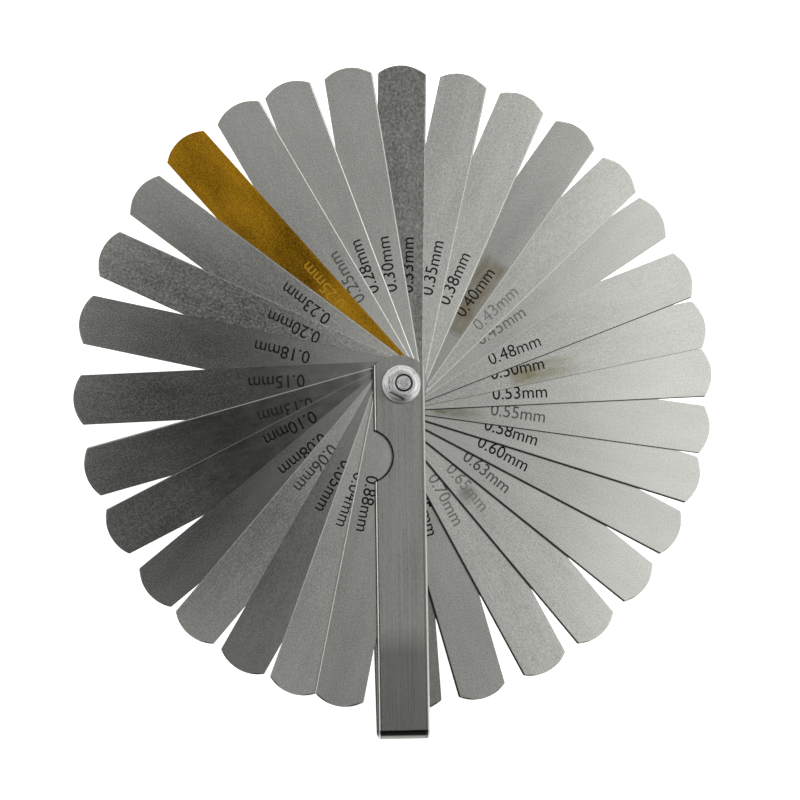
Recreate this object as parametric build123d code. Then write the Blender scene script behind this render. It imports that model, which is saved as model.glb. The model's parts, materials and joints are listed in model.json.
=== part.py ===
from build123d import *
import math
import os

# Feeler gauge: 32 thickness blades fanned out over a full circle on one pivot screw,
# inside a holder folded from a single steel strip.
# Frame: the origin is the centre of the screw head's flat face, on the pivot axis.
# +Z runs up the pivot axis to the nut, and the holder's handle end points along -Y.

# ---- driving dimensions, mm ----

# Blades from the top of the stack down: thickness, and how far the blade is fanned out
# of the holder, in degrees clockwise seen from the nut side.
BLADES = [
    (0.88, 12.0), (0.04, 20.5), (0.05, 30.5), (0.06, 41.0),
    (0.08, 51.0), (0.10, 63.0), (0.13, 74.5), (0.15, 87.5),
    (0.18, 102.0), (0.20, 114.5), (0.23, 127.0), (0.25, 138.5),
    (0.25, 150.0), (0.28, 160.0), (0.30, 171.5), (0.33, 181.5),
    (0.35, 193.0), (0.38, 204.5), (0.40, 216.0), (0.43, 227.0),
    (0.45, 237.0), (0.48, 249.0), (0.50, 258.5), (0.53, 267.5),
    (0.55, 278.0), (0.58, 287.5), (0.60, 298.0), (0.63, 309.0),
    (0.65, 320.5), (0.70, 332.0), (0.75, 344.5), (0.80, 356.5),
]
BRASS_BLADE = 11            # place in the list of the non-magnetic one

BLADE_WIDTH = 12.7
BLADE_REACH = 84.0          # pivot axis to tip
BRASS_REACH = 84.8          # the brass blade is a little longer
BLADE_TAIL = 6.0            # pivot axis to the rounded tail
BLADE_END_R = 10.2          # radius of both rounded ends
BLADE_CORNER_R = 0.5
BLADE_HOLE_R = 2.05
STACK_GAP = 0.03            # play between neighbouring faces of the stack

SCREW_R = 2.0               # M4
SCREW_LENGTH = 20.0         # under the head
SCREW_TIP_CHAMFER = 0.25
HEX_ACROSS_FLATS = 7.0      # screw head and nut alike
HEAD_HEIGHT = 2.8

HOLDER_THICKNESS = 1.0
HOLDER_WIDTH = 13.4
HOLDER_CENTRE_X = -0.55     # the pivot hole sits a little right of the centre line
HOLDER_REACH = 90.8         # pivot axis to the outside of the folded end
HOLDER_TOP = 7.55           # pivot axis to the top of the rounded end
HOLDER_TOP_R = 9.0
HOLDER_SKEW = 1.05          # the fold is out of square by this many degrees, back plate to the right
HOLDER_BEND_R = 2.5         # outside radius of each bend of the fold
HOLDER_EDGE_R = 0.8         # rolled outer edges of the strip; the punched ones are sharp
HOLDER_HOLE_R = 2.1

NOTCH_R = 6.75              # finger notch in the left edge
NOTCH_DEPTH = 4.75
NOTCH_Y = -18.4

NUT_HEIGHT = 4.65
NUT_FLANGE_R = 5.0
NUT_FLANGE_RIM = 0.7        # height of the flange at its rim
NUT_FLANGE_TOP = 1.9        # height where the flange's cone meets the hexagon
NUT_BORE_R = 2.04
NUT_COUNTERSINK_R = 2.3
NUT_TURN = -27.3            # hexagon's heading at rest
CHAMFER_ANGLE = 30          # corner chamfer of the head and the nut, degrees
CHAMFER_START = 0.95        # where it starts, as a share of the half width across flats

# ---- levels along the pivot axis ----

BACK_OUTSIDE = HEAD_HEIGHT
BACK_INSIDE = BACK_OUTSIDE + HOLDER_THICKNESS
STACK_HEIGHT = sum(thickness for thickness, _ in BLADES) + (len(BLADES) + 1) * STACK_GAP
FRONT_INSIDE = BACK_INSIDE + STACK_HEIGHT
FRONT_OUTSIDE = FRONT_INSIDE + HOLDER_THICKNESS
NUT_SEAT = FRONT_OUTSIDE + STACK_GAP


def blade_name(place, thickness):
    """Such as blade_0_04; the brass blade's name says so."""
    name = f"blade_{thickness:.2f}".replace(".", "_")
    return name + "_brass" if place == BRASS_BLADE else name


def blade_outline(reach):
    """Blade lying along +X from its pivot hole: two straight sides, two arc ends."""
    half = BLADE_WIDTH / 2
    sagitta = BLADE_END_R - math.sqrt(BLADE_END_R**2 - half**2)
    tip_x = reach - sagitta
    tail_x = -BLADE_TAIL + sagitta
    with BuildSketch() as outline:
        with BuildLine():
            Line((tail_x, -half), (tip_x, -half))
            ThreePointArc((tip_x, -half), (reach, 0), (tip_x, half))
            Line((tip_x, half), (tail_x, half))
            ThreePointArc((tail_x, half), (-BLADE_TAIL, 0), (tail_x, -half))
        make_face()
        fillet(outline.vertices(), BLADE_CORNER_R)
        Circle(BLADE_HOLE_R, mode=Mode.SUBTRACT)
    return outline.sketch


def make_blades():
    """Every blade at its own level, fanned out about the pivot."""
    steel = blade_outline(BLADE_REACH)
    brass = blade_outline(BRASS_REACH)
    blades = {}
    top = FRONT_INSIDE - STACK_GAP
    for place, (thickness, fanned) in enumerate(BLADES):
        blade = extrude(brass if place == BRASS_BLADE else steel, thickness)
        heading = -90 - fanned
        bottom = top - thickness
        blades[blade_name(place, thickness)] = Pos(0, 0, bottom) * Rot(0, 0, heading) * blade
        top = bottom - STACK_GAP
    return blades


def holder_strip():
    """Bent stock, wider than needed: two plates joined by two bends and a flat end wall.

    The profile's own X axis runs along the strip, away from the closed end.
    """
    length = HOLDER_REACH + HOLDER_TOP
    height = FRONT_OUTSIDE - BACK_OUTSIDE
    inner_bend = HOLDER_BEND_R - HOLDER_THICKNESS
    middle_z = (FRONT_OUTSIDE + BACK_OUTSIDE) / 2
    middle_y = HOLDER_TOP - length / 2
    with BuildPart() as strip:
        with BuildSketch(Plane.YZ):
            with Locations((middle_y, middle_z)):
                outside = Rectangle(length, height)
            fillet(outside.vertices().group_by(Axis.X)[0], HOLDER_BEND_R)
            with BuildSketch(mode=Mode.PRIVATE) as gap:
                with Locations((middle_y + HOLDER_THICKNESS, middle_z)):
                    inside = Rectangle(length, height - 2 * HOLDER_THICKNESS)
                fillet(inside.vertices().group_by(Axis.X)[0], inner_bend)
            add(gap.sketch, mode=Mode.SUBTRACT)
        extrude(amount=HOLDER_WIDTH, both=True)
    return strip.part


def holder_sides():
    """Body between the strip's two side edges, which lean over because the fold is skew."""
    with BuildSketch() as outline:
        with Locations((HOLDER_CENTRE_X, 0)):
            Rectangle(HOLDER_WIDTH, 3 * HOLDER_REACH)
    front = Pos(0, 0, FRONT_OUTSIDE) * outline.sketch
    back = Pos(0, 0, BACK_OUTSIDE) * Rot(0, 0, HOLDER_SKEW) * outline.sketch
    return loft([back.face(), front.face()], ruled=True)


def holder_punch():
    """Plan shape of the punch for both plates: round top, finger notch and pivot hole."""
    notch_x = HOLDER_CENTRE_X - HOLDER_WIDTH / 2 + NOTCH_DEPTH - NOTCH_R
    with BuildSketch() as punch:
        with Locations((HOLDER_CENTRE_X, HOLDER_TOP - HOLDER_TOP_R)):
            Circle(HOLDER_TOP_R)
            Rectangle(2 * HOLDER_TOP_R, 2 * HOLDER_REACH, align=(Align.CENTER, Align.MAX))
        with Locations((notch_x, NOTCH_Y)):
            Circle(NOTCH_R, mode=Mode.SUBTRACT)
        Circle(HOLDER_HOLE_R, mode=Mode.SUBTRACT)
    return punch.sketch


def is_outer_bend(face):
    return face.geom_type == GeomType.CYLINDER and math.isclose(face.radius, HOLDER_BEND_R)


def is_cross_line(edge):
    """A line across the strip, where a bend meets a flat or where the strip ends."""
    return edge.geom_type == GeomType.LINE and abs(edge.tangent_at(0).X) > 0.99


def make_holder():
    """The strip with its outer edges rolled over, and each plate punched to its plan."""
    strip = holder_strip() & holder_sides()
    flat = strip.faces().filter_by(GeomType.PLANE)
    bends = strip.faces().filter_by(is_outer_bend)
    outside = [flat.sort_by(Axis.Z)[0], flat.sort_by(Axis.Z)[-1], flat.sort_by(Axis.Y)[0], *bends]
    outline = [edge for face in outside for edge in face.outer_wire().edges() if not is_cross_line(edge)]
    strip = fillet(outline, HOLDER_EDGE_R)
    middle = (FRONT_OUTSIDE + BACK_OUTSIDE) / 2
    front_punch = Pos(0, 0, middle) * extrude(holder_punch(), FRONT_OUTSIDE)
    back_punch = Rot(0, 0, HOLDER_SKEW) * extrude(holder_punch(), middle)
    return strip & (front_punch + back_punch)


def hex_prism(height):
    """Hexagon bar with two corners on the X axis."""
    return extrude(RegularPolygon(HEX_ACROSS_FLATS / 2, 6, major_radius=False), height)


def corner_chamfer(height):
    """Solid that takes the corners off the top end of a hexagon bar of this height."""
    flat_r = CHAMFER_START * HEX_ACROSS_FLATS / 2
    wide_r = HEX_ACROSS_FLATS
    drop = (wide_r - flat_r) * math.tan(math.radians(CHAMFER_ANGLE))
    with BuildPart() as body:
        with BuildSketch(Plane.XZ):
            with BuildLine():
                Polyline(
                    (0, 0), (wide_r, 0), (wide_r, height - drop),
                    (flat_r, height), (0, height), close=True,
                )
            make_face()
        revolve(axis=Axis.Z)
    return body.part


def make_screw():
    """Hex head with its chamfered face down, and the plain shank the blades turn on."""
    head = hex_prism(HEAD_HEIGHT) & corner_chamfer(HEAD_HEIGHT)
    head = Pos(0, 0, HEAD_HEIGHT) * Rot(180, 0, 0) * head
    shank = Pos(0, 0, HEAD_HEIGHT) * extrude(Circle(SCREW_R), SCREW_LENGTH)
    shank = chamfer(shank.edges().group_by(Axis.Z)[-1], SCREW_TIP_CHAMFER)
    return head + shank


def make_nut():
    """Hexagon flange nut with a clear bore, countersunk at the top."""
    countersink = NUT_COUNTERSINK_R - NUT_BORE_R
    hexagon = hex_prism(NUT_HEIGHT) & corner_chamfer(NUT_HEIGHT)
    with BuildPart() as flange:
        with BuildSketch(Plane.XZ):
            with BuildLine():
                Polyline(
                    (0, 0), (NUT_FLANGE_R, 0), (NUT_FLANGE_R, NUT_FLANGE_RIM),
                    (HEX_ACROSS_FLATS / 2, NUT_FLANGE_TOP), (0, NUT_FLANGE_TOP), close=True,
                )
            make_face()
        revolve(axis=Axis.Z)
    nut = hexagon + flange.part - extrude(Circle(NUT_BORE_R), NUT_HEIGHT)
    mouth = Pos(0, 0, NUT_HEIGHT - countersink / 2) * Cone(NUT_BORE_R, NUT_COUNTERSINK_R, countersink)
    return Pos(0, 0, NUT_SEAT) * Rot(0, 0, NUT_TURN) * (nut - mouth)


def main():
    parts = {"holder": make_holder(), "pivot_screw": make_screw(), "flange_nut": make_nut()}
    parts.update(make_blades())
    os.makedirs("parts", exist_ok=True)
    for name, shape in parts.items():
        export_step(shape, f"parts/{name}.step")
    print(len(parts), "parts, stack height", round(STACK_HEIGHT, 2), "nut seat", round(NUT_SEAT, 2))


main()
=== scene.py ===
import bpy
import json
import math
from collections import namedtuple
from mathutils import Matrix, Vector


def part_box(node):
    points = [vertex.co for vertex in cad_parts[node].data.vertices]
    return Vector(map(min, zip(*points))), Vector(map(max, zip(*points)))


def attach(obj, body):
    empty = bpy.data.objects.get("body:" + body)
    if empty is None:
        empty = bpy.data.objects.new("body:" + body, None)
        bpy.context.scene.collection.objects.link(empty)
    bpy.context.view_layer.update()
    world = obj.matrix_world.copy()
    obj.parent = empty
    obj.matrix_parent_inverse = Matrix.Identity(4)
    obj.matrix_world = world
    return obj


# Feeler gauge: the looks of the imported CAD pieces, the thickness marks on the blades,
# and the studio. Lengths are in metres and angles in degrees, unless a comment says otherwise.

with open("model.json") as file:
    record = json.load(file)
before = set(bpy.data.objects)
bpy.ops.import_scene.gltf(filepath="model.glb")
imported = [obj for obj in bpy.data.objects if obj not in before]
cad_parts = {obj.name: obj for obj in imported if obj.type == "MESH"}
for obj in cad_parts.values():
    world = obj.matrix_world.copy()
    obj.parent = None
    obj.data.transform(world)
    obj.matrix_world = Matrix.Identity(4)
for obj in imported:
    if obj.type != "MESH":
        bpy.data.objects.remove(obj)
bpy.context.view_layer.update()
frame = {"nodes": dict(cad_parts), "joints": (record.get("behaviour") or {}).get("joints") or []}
nodes = frame["nodes"]
blade_names = [name for name in nodes if name.startswith("blade_")]
fan_angle = {joint["child"]: joint["range_deg"][1] for joint in frame["joints"]}


# ---- metals ----

STEEL = (0.60, 0.603, 0.565)
BRASS = (0.67, 0.34, 0.019)
HOLDER_STEEL = (0.40, 0.402, 0.376)
ZINC = (0.95, 0.95, 0.94)

# How a metal is finished: how far its pattern strays from its colour, its middle roughness, the
# length and width of its streaks and of its specks, the streaks' share beside the specks, the share
# of cloudy patches in the whole, and the height of its bumps.
Finish = namedtuple("Finish", "contrast roughness streak speck streak_share patch_share bumps")
BLADE_FINISH = Finish(0.27, 0.20, (0.004, 0.0003), (0.0004, 0.0003), 0.2, 0.18, 0.000002)
BRASS_FINISH = BLADE_FINISH._replace(contrast=0.90, patch_share=0.4)
HOLDER_FINISH = Finish(0.22, 0.28, (0.03, 0.0003), (0.001, 0.0003), 0.6, 0.2, 0.000003)
ZINC_FINISH = Finish(0.25, 0.40, (0.0008, 0.0008), (0.0003, 0.0003), 0.5, 0.0, 0.000006)
ROUGHNESS_SPREAD = 0.10
PATCH = (0.02, 0.006)       # length and width of a cloudy patch
NOISE_RANGE = (0.3, 0.7)    # nearly all of Blender's noise lies in here

# Seeds of the patterns: a blade's and a mark's go by the blade's place in the stack.
BLADE_SEED_STEP = 10.0
MARK_SEED = 50.0
HOLDER_SEED = 400.0
NUT_SEED = 500.0
SCREW_SEED = 510.0


# ---- blades ----

BLADE_WIDTH = 0.0127

# Painted reflection: each blade's colour made darker or lighter to match how brightly it reflects.
REFLECTION_TONES = {
    "blade_0_88": 1.10, "blade_0_04": 1.35, "blade_0_05": 0.78, "blade_0_06": 1.30, "blade_0_08": 0.75,
    "blade_0_10": 0.65, "blade_0_13": 0.67, "blade_0_15": 0.71, "blade_0_18": 0.92, "blade_0_20": 1.08,
    "blade_0_23": 1.15, "blade_0_25": 1.30, "blade_0_28": 1.30, "blade_0_30": 1.20, "blade_0_33": 0.65,
    "blade_0_35": 1.36, "blade_0_38": 1.38, "blade_0_40": 0.95, "blade_0_43": 1.19, "blade_0_45": 1.11,
    "blade_0_48": 1.12, "blade_0_50": 1.13, "blade_0_53": 1.17, "blade_0_55": 1.12, "blade_0_58": 1.13,
    "blade_0_60": 1.09, "blade_0_63": 1.19, "blade_0_65": 1.24, "blade_0_70": 1.28, "blade_0_75": 1.00,
    "blade_0_80": 0.66,
}

# Coarsely ground blades, with the contrast of their grain.
COARSE_GRAIN = {"blade_0_33": 0.62, "blade_0_20": 0.36}
COARSE_SPECK = (0.0007, 0.0006)

# Clockwise edges with a painted highlight, from 0 for none to 1 for the brightest.
HIGHLIT_EDGES = {
    "blade_0_88": 1.0, "blade_0_04": 0.25, "blade_0_06": 0.3, "blade_0_10": 0.2, "blade_0_13": 0.6,
    "blade_0_20": 0.2, "blade_0_23": 0.15, "blade_0_25_brass": 0.1, "blade_0_25": 0.35,
    "blade_0_28": 0.45, "blade_0_30": 0.6, "blade_0_33": 0.7, "blade_0_35": 0.7, "blade_0_38": 0.7,
    "blade_0_40": 0.8, "blade_0_43": 0.6, "blade_0_45": 0.5,
}
HIGHLIT_EDGE_WIDTH = 0.00030         # width of an edge's painted highlight
EDGE_DROP = 0.00012         # how far an edge at 1 rolls down
# Brightness of the painted highlight, as a share of the metal's colour.
EDGE_HIGHLIGHT_SHADE = 1.4

# Clockwise edges with a black line of painted shadow, of this share of BLACK_EDGE in width. A blade in
# neither list has a painted shadow line of the thinnest width.
BLACK_EDGES = {
    "blade_0_48": 0.5, "blade_0_50": 0.15, "blade_0_53": 0.55, "blade_0_55": 0.5, "blade_0_58": 1.0,
    "blade_0_60": 1.0, "blade_0_63": 1.0, "blade_0_65": 1.0, "blade_0_70": 1.0, "blade_0_75": 1.0,
    "blade_0_80": 0.5,
}
BLACK_EDGE = 0.00060
THINNEST_EDGE = 0.00005
BLACK_SHADE = 0.03

EDGE_LINE_DEPTH = (0.00010, 0.00005)    # from none of the line to all of it, below the top face
SIDE_SLOPE = (0.3, 0.1)     # a face is a side of the blade once its normal's Z falls through this
SIDE_COVER = 0.7            # how far painted shade darkens the sides
SIDE_SHADE = 0.2

# Old oil stains, and grey films that darken most of blades 0.10 to 0.15, in millimetres on the blade: from
# and to along it, from and to across it, the length over which the outer end fades, and the colour.
STAINS = {
    "blade_0_10": ((8, 64), (-8, 8), 16, (0.20, 0.20, 0.19)),
    "blade_0_13": ((8, 64), (-8, 8), 16, (0.20, 0.20, 0.19)),
    "blade_0_15": ((8, 52), (-8, 8), 16, (0.30, 0.30, 0.28)),
    "blade_0_40": ((19, 43), (-6.8, 2), 2, (0.33, 0.28, 0.19)),
    "blade_0_50": ((29, 50), (-6.8, 0), 12, (0.33, 0.30, 0.17)),
    "blade_0_55": ((9.5, 25), (-6.8, -1.5), 10, (0.24, 0.24, 0.15)),
    "blade_0_65": ((30.5, 36), (-6.3, -0.3), 2, (0.33, 0.33, 0.30)),
}
STAIN_RIM = 2               # millimetres over which the other sides fade
STAIN_GRAIN = (0.005, 0.002)
STAIN_EVENNESS = 0.4

# Marks, in millimetres on the blade: where the text starts along it, its baseline across it,
# and how worn it is, from 0 for crisp to 1 for gone.
MARKS = {
    "blade_0_88": (24.6, -4.1, 0.0), "blade_0_04": (25.1, -3.6, 0.0), "blade_0_05": (24.1, -3.45, 0.0),
    "blade_0_06": (23.4, -4.2, 0.05), "blade_0_08": (23.7, -3.7, 0.0), "blade_0_10": (23.2, -4.6, 0.0),
    "blade_0_13": (23.1, -3.3, 0.04), "blade_0_15": (24.6, -3.85, 0.02), "blade_0_18": (24.3, -3.7, 0.0),
    "blade_0_20": (23.9, -4.0, 0.0), "blade_0_23": (24.7, -4.0, 0.0), "blade_0_25_brass": (25.0, -4.15, 0.0),
    "blade_0_25": (23.7, -4.0, 0.15), "blade_0_28": (24.7, -4.0, 0.0), "blade_0_30": (24.4, -3.65, 0.0),
    "blade_0_33": (24.3, -3.5, 0.0), "blade_0_35": (24.9, -3.7, 0.0), "blade_0_38": (24.6, -3.7, 0.0),
    "blade_0_40": (24.7, -3.8, 0.0), "blade_0_43": (25.7, -4.3, 0.4), "blade_0_45": (24.4, -3.15, 0.3),
    "blade_0_48": (25.1, -3.7, 0.0), "blade_0_50": (24.8, -3.2, 0.0), "blade_0_53": (25.1, -4.5, 0.0),
    "blade_0_55": (25.4, -3.85, 0.2), "blade_0_58": (25.1, -3.65, 0.0), "blade_0_60": (25.7, -3.65, 0.0),
    "blade_0_63": (25.1, -3.7, 0.15), "blade_0_65": (24.7, -3.65, 0.4), "blade_0_70": (24.6, -3.7, 0.35),
    "blade_0_75": (25.0, -2.6, 0.0), "blade_0_80": (24.6, -3.75, 0.0),
}
MARK_SIZE = 0.00464
MARK_LENGTH = 0.0145
MARK_THICKNESS = 0.00001
MARK_BOLDNESS = 0.00002
MARK_CURVE_STEPS = 4
MARK_ROUGHNESS = 0.22
DARK_MARK = (0.005, 0.005, 0.005)
GOLDEN_MARK = (0.52, 0.29, 0.03)
WEAR_SPOT = 0.0006          # size of the spots that wear makes in a mark
LEAST_BARE = 0.7            # how bare a mark's soundest spots are, as a share of its wear
MOST_BARE = 1.3             # the same for its most worn spots
ALWAYS_BARE = 0.05          # and how bare those are even in a crisp mark

BLADE_ROUNDING = 0.00015    # width of the broken edges
BLADE_ROUNDING_SHARE = 0.35             # and its most on a thin blade, as a share of the thickness


# ---- holder ----

HOLDER_HEADING = -90
HOLDER_CENTRE = -0.00055    # X of its centre line
HOLDER_WIDTH = 0.0134
HOLDER_DEPTH = 0.01528      # from the front of the front plate to the back of the back plate
HOLDER_SKEW = 1.05          # how far the back plate turns to the right about the pivot
NOTCH_CENTRE = (0.0184, -0.0087)        # outward from the pivot, and across from the centre line

SHADED_TOWARDS_FOLD = (0.062, 0.069)   # between these painted shade darkens the holder, and stays so to the folded end
FOLD_SHADE = 0.60

# Lines on the holder, the black and dark ones painted shade and the bright ones painted highlights: where
# each starts and ends in millimetres, how light it is, how much it covers.
BLACK_BEND = (88.6, 89.9, 0.05, 0.9)    # outward from the pivot
BLACK_LEFT = (-1, 0.30, 0.03, 1.0)      # inward from the left edge
BRIGHT_LEFT = (0.30, 0.58, 1.7, 1.0)
SHADE_LINE_LEFT = (0.60, 0.82, 0.15, 0.8)
BRIGHT_RIGHT = (-1, 0.45, 1.7, 1.0)     # inward from the right edge
SHADE_LINE_RIGHT = (0.45, 1.10, 0.4, 0.6)
BLACK_NOTCH = (6.5, 7.1, 0.03, 1.0)     # outward from the axis of the notch
LINE_BLUR = 0.00005         # the lines fade over twice this
ROLLED_DEPTH = (0.0008, 0.0005)         # depths between which the left edge's black ends, under its roll
HOLDER_ANISOTROPY = 0.8
HOLDER_ROUNDING = 0.00010


# ---- nut and screw ----

ZINC_HEADING = -90          # of the pattern's grain
RING_SCALE = 0.001          # length in the rings' pattern for each radian round the axis
RING_GRAIN = (0.0012, 0.00025)
RING_FULL = 0.6             # the rings' pattern is brightest from here on
RING_SHADE = 0.3
DULL_CENTRE = (0.0010, 0.0013)          # radii between which the dull middle ends
DULL_SHADE = 0.8
SHADED_SIDES = (-0.4, -0.7)   # Y of the normal, from no painted shade to full painted shade on the sides that face the folded end
SHADED_SIDES_COVER = 0.9
SHADED_SIDES_TONE = 0.05
MOUTH_RADII = (0.00188, 0.00226)        # the thread's mouth, dark with painted shade
MOUTH_RIM = 0.0001
MOUTH_LEVEL = 0.0222        # it lies above this level
MOUTH_SHADE = 0.10
NUT_ROUNDING = 0.00015
SCREW_ROUNDING = 0.00010


# ---- edges of every piece ----

WELD_DISTANCE = 1e-7
SHARP_ANGLE = 40            # only edges sharper than this are broken
ROUNDING_STEPS = 2


# ---- studio ----

# Soft boxes, all facing down from the same height: two opposite corners and the brightness.
SOFTBOX_HEIGHT = 0.50
SOFTBOXES = {
    "softbox_right": ((0.15, -0.20), (0.74, 0.60), 0.95),
    "softbox_near": ((0.09, -0.02), (0.15, 0.16), 0.38),
    "softbox_near_low": ((0.09, -0.17), (0.15, -0.02), 0.35),
    "softbox_middle": ((0.04, -0.04), (0.09, 0.10), 0.44),
    "softbox_top": ((-0.20, 0.10), (0.15, 0.60), 0.31),
    "softbox_low": ((-0.16, -0.17), (0.09, -0.04), 0.26),
    "softbox_near_left": ((-0.16, -0.04), (-0.08, 0.10), 0.88),
    "softbox_left": ((-0.62, -0.20), (-0.30, 0.25), 1.20),
}

WALL_HEADING = 60           # the walls' middle; their gap is opposite
WALL_LIGHT = 0.7
WALL_ENDS = (-0.75, -0.60)  # cosine of the angle from the middle, from the gap to the full wall
WALL_TOP = (0.78, 0.66)     # sine of the elevation, from the dark ceiling to the full wall
SKIRTING_TOP = (0.40, 0.25)             # the same for the low wall that has no gap
CEILING_LIGHT = 0.02

FLOOR_HALF = 6
FLOOR_COLOUR = (0.85, 0.85, 0.85, 1)
FLOOR_ROUGHNESS = 0.9
FLOOR_GLOW = 0.85
WHITE = (1, 1, 1, 1)

CAMERA_PLACE = (-0.11428, -0.06808, 0.81005)
CAMERA_TILT = (4.697, -8.116, -0.849)
CAMERA_LENS = 140.44        # millimetres
CAMERA_CLIP = (0.01, 50)


# ---- node helpers ----

def new_material(name):
    material = bpy.data.materials.new(name)
    material.use_nodes = True
    return material, material.node_tree, material.node_tree.nodes["Principled BSDF"]


def connect(tree, value, socket):
    """Feeds a socket from another node's output, or sets it to a value."""
    if isinstance(value, bpy.types.NodeSocket):
        tree.links.new(value, socket)
    else:
        socket.default_value = value


def add(tree, kind, inputs, **settings):
    """Adds one node; inputs are values or other nodes' outputs. Returns its first output."""
    made = tree.nodes.new("ShaderNode" + kind)
    for name, value in settings.items():
        setattr(made, name, value)
    for key, value in inputs.items():
        connect(tree, value, made.inputs[key])
    return made.outputs[0]


def calculate(tree, operation, *values):
    return add(tree, "Math", dict(enumerate(values)), operation=operation)


def scale(tree, vector, factor):
    """A vector or colour times another one, or times a value."""
    return add(tree, "VectorMath", {0: vector, 1: factor}, operation="MULTIPLY")


def ramp(tree, value, start, end, low=0.0, high=1.0):
    """Goes from low to high while the value goes from start to end, and stays there beyond."""
    ends = {"Value": value, "From Min": start, "From Max": end, "To Min": low, "To Max": high}
    return add(tree, "MapRange", ends)


def blend(tree, share, first, second):
    """Mix of two values, with this share of the second."""
    return calculate(tree, "MULTIPLY_ADD", second, share, calculate(tree, "MULTIPLY", first, 1 - share))


def blend_colours(tree, factor, first, second):
    """Mix of two colours, or of colour outputs."""
    mix = tree.nodes.new("ShaderNodeMix")
    mix.data_type = "RGBA"
    for socket, value in zip((mix.inputs[0], mix.inputs[6], mix.inputs[7]), (factor, first, second)):
        connect(tree, value, socket)
    return mix.outputs[2]


def shade(colour, factor):
    return tuple(channel * factor for channel in colour) + (1,)


def separate(tree, vector):
    """The three parts of a vector, as outputs by name."""
    split = tree.nodes.new("ShaderNodeSeparateXYZ")
    tree.links.new(vector, split.inputs[0])
    return split.outputs


def lengthwise(tree, heading):
    """Coordinates on the piece with X along its length, from the pivot axis."""
    place = tree.nodes.new("ShaderNodeTexCoord").outputs["Object"]
    return add(tree, "Mapping", {"Vector": place, "Rotation": (0, 0, math.radians(-heading))})


def facing(tree):
    """The surface's own direction, as three outputs."""
    return separate(tree, tree.nodes.new("ShaderNodeNewGeometry").outputs["True Normal"])


def pattern(tree, along, grain, seed, detail=3):
    """Noise whose grains measure grain = (length, width), spread over 0 to 1."""
    length, width = grain
    place = scale(tree, along, (1 / length, 1 / width, 1 / width))
    inputs = {"Vector": place, "W": seed, "Scale": 1, "Detail": detail}
    return ramp(tree, add(tree, "TexNoise", inputs, noise_dimensions="4D"), *NOISE_RANGE)


# ---- materials ----

def metal(name, heading, colour, finish, seed):
    """Metal with streaks along the heading, fine specks and broad cloudy patches."""
    material, tree, shader = new_material(name)
    along = lengthwise(tree, heading)
    streaks = pattern(tree, along, finish.streak, seed)
    specks = pattern(tree, along, finish.speck, seed + 1)
    patches = pattern(tree, along, PATCH, seed + 2, detail=1)
    fine = blend(tree, finish.streak_share, specks, streaks)
    mixed = blend(tree, finish.patch_share, fine, patches)
    dark, light = shade(colour, 1 - finish.contrast), shade(colour, 1 + finish.contrast)
    base = blend_colours(tree, mixed, dark, light)
    smoothest = finish.roughness - ROUGHNESS_SPREAD / 2
    rough = calculate(tree, "MULTIPLY_ADD", mixed, ROUGHNESS_SPREAD, smoothest)
    bump = add(tree, "Bump", {"Height": fine, "Distance": finish.bumps})
    tree.links.new(rough, shader.inputs["Roughness"])
    tree.links.new(bump, shader.inputs["Normal"])
    shader.inputs["Metallic"].default_value = 1
    return material, tree, shader, along, base


def stained(tree, along, base, seed, lengths, widths, fade, colour):
    """Lays a patchy film over part of a blade, of old oil on most blades and of plain grey on blades 0.10 to
    0.15.
    """
    place = separate(tree, along)
    film = blend(tree, STAIN_EVENNESS, pattern(tree, along, STAIN_GRAIN, seed, detail=2), 1.0)
    for part, (start, end), rim in ((place["X"], lengths, fade), (place["Y"], widths, STAIN_RIM)):
        rise = ramp(tree, part, start / 1000, (start + STAIN_RIM) / 1000)
        fall = ramp(tree, part, end / 1000, (end - rim) / 1000)
        film = calculate(tree, "MULTIPLY", calculate(tree, "MULTIPLY", rise, fall), film)
    return blend_colours(tree, film, base, shade(colour, 1))


def heading_of(name):
    """Direction in which the blade points at rest, about +Z from +X."""
    return HOLDER_HEADING - fan_angle[name + "_body"]


def blade_finish(name):
    if name.endswith("_brass"):
        return BRASS_FINISH
    if name in COARSE_GRAIN:
        return BLADE_FINISH._replace(contrast=COARSE_GRAIN[name], speck=COARSE_SPECK)
    return BLADE_FINISH


def blade_colour(name):
    colour = BRASS if name.endswith("_brass") else STEEL
    # The tone is painted reflection.
    return tuple(channel * REFLECTION_TONES.get(name, 1) for channel in colour)


def edge_line(tree, along, name, width):
    """Cover of a line of this width on the top of the blade's clockwise edge."""
    place = separate(tree, along)
    inside = calculate(tree, "ADD", place["Y"], BLADE_WIDTH / 2)
    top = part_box(name)[1].z
    near = ramp(tree, inside, width, width / 2)
    high = ramp(tree, place["Z"], *(top - depth for depth in EDGE_LINE_DEPTH))
    return calculate(tree, "MULTIPLY", near, high)


def highlit_edge(tree, shader, along, base, name):
    """Paints a highlight on the clockwise edge and rolls it down. Returns the new base."""
    wear_and_shine = HIGHLIT_EDGES[name]
    edge = edge_line(tree, along, name, HIGHLIT_EDGE_WIDTH)
    grain = shader.inputs["Normal"].links[0].from_socket
    roll = {"Height": edge, "Distance": EDGE_DROP * wear_and_shine, "Normal": grain}
    tree.links.new(add(tree, "Bump", roll, invert=True), shader.inputs["Normal"])
    bare_and_highlight = shade(BRASS if name.endswith("_brass") else STEEL, EDGE_HIGHLIGHT_SHADE)
    return blend_colours(tree, calculate(tree, "MULTIPLY", edge, wear_and_shine), base, bare_and_highlight)


def black_edge(tree, along, base, name):
    """Paints a black shadow line along the clockwise edge. Returns the new base."""
    width = max(BLACK_EDGE * BLACK_EDGES.get(name, 0), THINNEST_EDGE)
    return blend_colours(tree, edge_line(tree, along, name, width), base, shade(STEEL, BLACK_SHADE))


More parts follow.
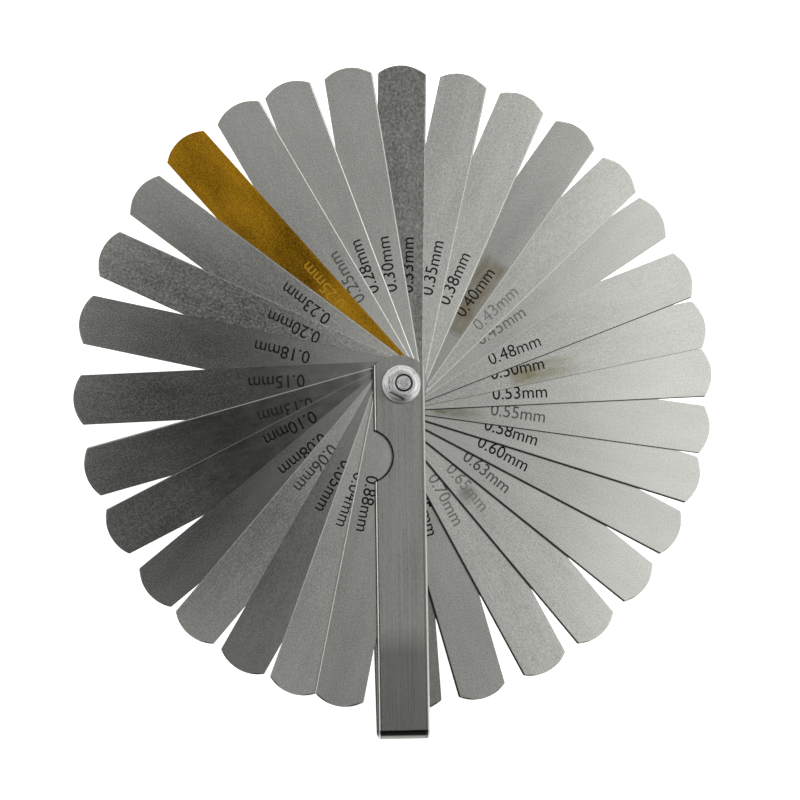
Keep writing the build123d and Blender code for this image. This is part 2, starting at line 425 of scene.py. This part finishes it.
def blade_material(name):
    """Rolled metal with films of old oil and of grey on some blades, a painted highlight along the clockwise
    edge of some blades and a painted shadow line along that of the others, and painted shade on the sides.
    """
    colour = blade_colour(name)
    seed = BLADE_SEED_STEP * blade_names.index(name)
    material, tree, shader, along, base = metal(
        name + "_metal", heading_of(name), colour, blade_finish(name), seed,
    )
    if name in STAINS:
        base = stained(tree, along, base, seed + 5, *STAINS[name])
    # A painted highlight on the clockwise edge, or else a painted shadow line along it.
    if name in HIGHLIT_EDGES:
        base = highlit_edge(tree, shader, along, base, name)
    else:
        base = black_edge(tree, along, base, name)
    # Painted shade on the blade's sides.
    level = calculate(tree, "ABSOLUTE", facing(tree)["Z"])
    side = ramp(tree, level, *SIDE_SLOPE, high=SIDE_COVER)
    base = blend_colours(tree, side, base, shade(colour, SIDE_SHADE))
    tree.links.new(base, shader.inputs["Base Color"])
    return material


def band(tree, place, start, end):
    """1 between start and end, in millimetres, and 0 outside."""
    rise = ramp(tree, place, start / 1000 - LINE_BLUR, start / 1000 + LINE_BLUR)
    fall = ramp(tree, place, end / 1000 + LINE_BLUR, end / 1000 - LINE_BLUR)
    return calculate(tree, "MULTIPLY", rise, fall)


def from_centre_line(tree, outward, across, depth):
    """Distance to the right of the holder's centre line, which leans over with depth."""
    lean = math.tan(math.radians(HOLDER_SKEW)) / HOLDER_DEPTH
    shift = calculate(tree, "MULTIPLY", calculate(tree, "MULTIPLY", depth, outward), lean)
    return calculate(tree, "SUBTRACT", calculate(tree, "SUBTRACT", across, HOLDER_CENTRE), shift)


def from_notch(tree, outward, centred):
    """Distance from the axis of the finger notch."""
    down = calculate(tree, "POWER", calculate(tree, "SUBTRACT", outward, NOTCH_CENTRE[0]), 2)
    sideways = calculate(tree, "POWER", calculate(tree, "SUBTRACT", centred, NOTCH_CENTRE[1]), 2)
    return calculate(tree, "SQRT", calculate(tree, "ADD", down, sideways))


def holder_material():
    """Steel brushed lengthwise, with painted highlights and painted shade along its edges, painted shade
    along its notch and its fold, and painted shade towards the folded end.
    """
    material, tree, shader, along, base = metal(
        "holder_brushed_steel", HOLDER_HEADING, HOLDER_STEEL, HOLDER_FINISH, HOLDER_SEED,
    )
    place = separate(tree, along)
    outward = place["X"]
    depth = calculate(tree, "SUBTRACT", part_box("holder")[1].z, place["Z"])
    centred = from_centre_line(tree, outward, place["Y"], depth)
    from_left = calculate(tree, "ADD", centred, HOLDER_WIDTH / 2)
    from_right = calculate(tree, "SUBTRACT", HOLDER_WIDTH / 2, centred)
    # Painted shade: the holder is darker towards the folded end.
    base = scale(tree, base, ramp(tree, outward, *SHADED_TOWARDS_FOLD, low=1.0, high=FOLD_SHADE))
    rolled = ramp(tree, depth, *ROLLED_DEPTH)
    # Painted shade and painted highlights along the edges, the notch and the fold.
    for measure, (start, end, light, cover), where in (
        (outward, BLACK_BEND, 1.0),
        (from_left, BLACK_LEFT, rolled),
        (from_left, BRIGHT_LEFT, 1.0),
        (from_left, SHADE_LINE_LEFT, 1.0),
        (from_right, BRIGHT_RIGHT, 1.0),
        (from_right, SHADE_LINE_RIGHT, 1.0),
        (from_notch(tree, outward, centred), BLACK_NOTCH, 1.0),
    ):
        line = calculate(tree, "MULTIPLY", band(tree, measure, start, end), cover)
        line = calculate(tree, "MULTIPLY", line, where)
        base = blend_colours(tree, line, base, shade(HOLDER_STEEL, light))
    tree.links.new(base, shader.inputs["Base Color"])
    shader.inputs["Anisotropic"].default_value = HOLDER_ANISOTROPY
    tree.links.new(add(tree, "CombineXYZ", {"X": 1.0}), shader.inputs["Tangent"])
    return material


def turning_marks(tree, place, radius, seed):
    """Brightness of the rings that a lathe leaves about the axis."""
    turn = calculate(tree, "MULTIPLY", calculate(tree, "ARCTAN2", place["X"], place["Y"]), RING_SCALE)
    rings = pattern(tree, add(tree, "CombineXYZ", {"X": turn, "Y": radius}), RING_GRAIN, seed)
    return ramp(tree, rings, 0.0, RING_FULL, low=RING_SHADE)


def shaded_mouth(tree, place, radius):
    """Cover of the painted shade in the thread's mouth, a ring between the screw and the nut."""
    start, end = MOUTH_RADII
    inner = ramp(tree, radius, start - MOUTH_RIM, start)
    outer = ramp(tree, radius, end + MOUTH_RIM, end)
    top = calculate(tree, "GREATER_THAN", place["Z"], MOUTH_LEVEL)
    return calculate(tree, "MULTIPLY", calculate(tree, "MULTIPLY", inner, outer), top)


def plated(name, seed):
    """Bright zinc plate with turning marks, a dull middle, painted shade on the sides that face the folded
    end and painted shade in the thread's mouth.
    """
    material, tree, shader, along, base = metal(name, ZINC_HEADING, ZINC, ZINC_FINISH, seed)
    place = separate(tree, along)
    squares = (calculate(tree, "POWER", place["X"], 2), calculate(tree, "POWER", place["Y"], 2))
    radius = calculate(tree, "SQRT", calculate(tree, "ADD", *squares))
    base = scale(tree, base, turning_marks(tree, place, radius, seed + 5))
    base = scale(tree, base, ramp(tree, radius, *DULL_CENTRE, low=DULL_SHADE))
    # Painted shade on the sides that face the folded end.
    side = ramp(tree, facing(tree)["Y"], *SHADED_SIDES, high=SHADED_SIDES_COVER)
    base = blend_colours(tree, side, base, shade(ZINC, SHADED_SIDES_TONE))
    # Painted shade in the thread's mouth.
    base = blend_colours(tree, shaded_mouth(tree, place, radius), base, shade(ZINC, MOUTH_SHADE))
    tree.links.new(base, shader.inputs["Base Color"])
    return material


def mark_material(name):
    """Etched mark; where it is worn the bare metal shows."""
    wear_and_shine = MARKS[name][2]
    material, tree, shader = new_material(name + "_etched")
    place = tree.nodes.new("ShaderNodeTexCoord").outputs["Object"]
    spots = pattern(tree, place, (WEAR_SPOT, WEAR_SPOT), MARK_SEED + blade_names.index(name))
    bare_and_highlight = ramp(tree, spots, 0.0, 1.0, wear_and_shine * LEAST_BARE, min(1, wear_and_shine * MOST_BARE + ALWAYS_BARE))
    etched = shade(GOLDEN_MARK if name.endswith("_brass") else DARK_MARK, 1)
    base = blend_colours(tree, bare_and_highlight, etched, shade(blade_colour(name), 1))
    tree.links.new(base, shader.inputs["Base Color"])
    tree.links.new(bare_and_highlight, shader.inputs["Metallic"])
    shader.inputs["Roughness"].default_value = MARK_ROUGHNESS
    shader.inputs["Specular IOR Level"].default_value = 0.0
    return material


def set_material(piece, material):
    piece.data.materials.clear()
    piece.data.materials.append(material)


# ---- pieces ----

def round_edges(piece, width):
    """Breaks the sharp edges by width, as tumbling does, and keeps the flats flat."""
    weld = piece.modifiers.new("joined_corners", "WELD")
    weld.merge_threshold = WELD_DISTANCE
    bevel = piece.modifiers.new("broken_edges", "BEVEL")
    bevel.width = width
    bevel.segments = ROUNDING_STEPS
    bevel.limit_method = "ANGLE"
    bevel.angle_limit = math.radians(SHARP_ANGLE)
    bevel.use_clamp_overlap = True
    normals = piece.modifiers.new("flat_faces", "WEIGHTED_NORMAL")
    normals.keep_sharp = False


def mark_text(name):
    """Mesh of the blade's thickness in millimetres, set along X from the origin."""
    words = name.split("_")
    curve = bpy.data.curves.new(name + "_mark", "FONT")
    curve.body = f"{words[1]}.{words[2]}mm"
    curve.size = MARK_SIZE
    curve.resolution_u = MARK_CURVE_STEPS
    curve.extrude = MARK_THICKNESS / 2
    curve.offset = 0 if "4" in curve.body else MARK_BOLDNESS    # boldness fills the hole in a 4
    shape = bpy.data.objects.new(name + "_mark_shape", curve)
    bpy.context.scene.collection.objects.link(shape)
    bpy.context.view_layer.update()
    mesh = bpy.data.meshes.new_from_object(shape.evaluated_get(bpy.context.evaluated_depsgraph_get()))
    bpy.data.objects.remove(shape)
    return mesh


def thickness_mark(name):
    """The blade's thickness, etched beside its exposed edge."""
    mesh = mark_text(name)
    mark = bpy.data.objects.new(name + "_mark", mesh)
    bpy.context.scene.collection.objects.link(mark)
    start, baseline, _ = MARKS[name]
    left = min(v.co.x for v in mesh.vertices)
    squeeze = MARK_LENGTH / (max(v.co.x for v in mesh.vertices) - left)
    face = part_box(name)[1].z
    heading = math.radians(heading_of(name))
    cos, sin = math.cos(heading), math.sin(heading)
    for vertex in mesh.vertices:
        x = start / 1000 + (vertex.co.x - left) * squeeze
        y = baseline / 1000 + vertex.co.y
        vertex.co = (cos * x - sin * y, sin * x + cos * y, face + MARK_THICKNESS / 2 + vertex.co.z)
    set_material(mark, mark_material(name))
    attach(mark, name + "_body")


def finish_blade(name):
    set_material(nodes[name], blade_material(name))
    low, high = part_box(name)
    round_edges(nodes[name], min(BLADE_ROUNDING, (high.z - low.z) * BLADE_ROUNDING_SHARE))
    thickness_mark(name)


for name in blade_names:
    finish_blade(name)
set_material(nodes["holder"], holder_material())
round_edges(nodes["holder"], HOLDER_ROUNDING)
set_material(nodes["flange_nut"], plated("nut_zinc_plate", NUT_SEED))
round_edges(nodes["flange_nut"], NUT_ROUNDING)
set_material(nodes["pivot_screw"], plated("screw_zinc_plate", SCREW_SEED))
round_edges(nodes["pivot_screw"], SCREW_ROUNDING)


# ---- floor, lights and camera ----

def make_floor():
    """A pale floor that glows, so that it stays near white all over."""
    material, tree, shader = new_material("pale_floor")
    shader.inputs["Base Color"].default_value = FLOOR_COLOUR
    shader.inputs["Roughness"].default_value = FLOOR_ROUGHNESS
    shader.inputs["Emission Color"].default_value = WHITE
    shader.inputs["Emission Strength"].default_value = FLOOR_GLOW
    half = FLOOR_HALF
    corners = [(-half, -half, 0), (half, -half, 0), (half, half, 0), (-half, half, 0)]
    mesh = bpy.data.meshes.new("floor")
    mesh.from_pydata(corners, [], [(0, 1, 2, 3)])
    floor = bpy.data.objects.new("floor", mesh)
    bpy.context.scene.collection.objects.link(floor)
    mesh.materials.append(material)


def softbox(name, low, high, radiance):
    """Soft light facing down, unseen by the camera; radiance is its brightness as steel mirrors it."""
    light = bpy.data.lights.new(name, "AREA")
    light.shape = "RECTANGLE"
    light.size, light.size_y = high[0] - low[0], high[1] - low[1]
    light.energy = radiance * math.pi * light.size * light.size_y
    box = bpy.data.objects.new(name, light)
    bpy.context.scene.collection.objects.link(box)
    box.location = ((low[0] + high[0]) / 2, (low[1] + high[1]) / 2, SOFTBOX_HEIGHT)
    box.visible_camera = False


def make_world():
    """White walls round the table except at its lower left, a low one all round, a dark ceiling."""
    world = bpy.data.worlds.new("studio")
    bpy.context.scene.world = world
    world.use_nodes = True
    tree = world.node_tree
    direction = tree.nodes.new("ShaderNodeTexCoord").outputs["Generated"]
    height = separate(tree, direction)["Z"]
    unit = add(tree, "VectorMath", {0: scale(tree, direction, (1, 1, 0))}, operation="NORMALIZE")
    heading = math.radians(WALL_HEADING)
    towards = tree.nodes.new("ShaderNodeVectorMath")
    towards.operation = "DOT_PRODUCT"
    tree.links.new(unit, towards.inputs[0])
    towards.inputs[1].default_value = (math.cos(heading), math.sin(heading), 0)
    wall = ramp(tree, towards.outputs["Value"], *WALL_ENDS)
    wall = calculate(tree, "MULTIPLY", wall, ramp(tree, height, *WALL_TOP))
    bright = calculate(tree, "MAXIMUM", wall, ramp(tree, height, *SKIRTING_TOP))
    lit = calculate(tree, "MULTIPLY", bright, WALL_LIGHT)
    background = tree.nodes["Background"]
    tree.links.new(calculate(tree, "ADD", lit, CEILING_LIGHT), background.inputs["Strength"])
    background.inputs["Color"].default_value = WHITE


def make_camera():
    camera = bpy.data.objects.new("camera", bpy.data.cameras.new("camera"))
    bpy.context.scene.collection.objects.link(camera)
    camera.data.lens = CAMERA_LENS
    camera.location = CAMERA_PLACE
    camera.rotation_euler = [math.radians(angle) for angle in CAMERA_TILT]
    camera.data.clip_start, camera.data.clip_end = CAMERA_CLIP
    bpy.context.scene.camera = camera


make_floor()
make_world()
for name, settings in SOFTBOXES.items():
    softbox(name, *settings)
make_camera()
bpy.context.scene.view_settings.view_transform = "Standard"
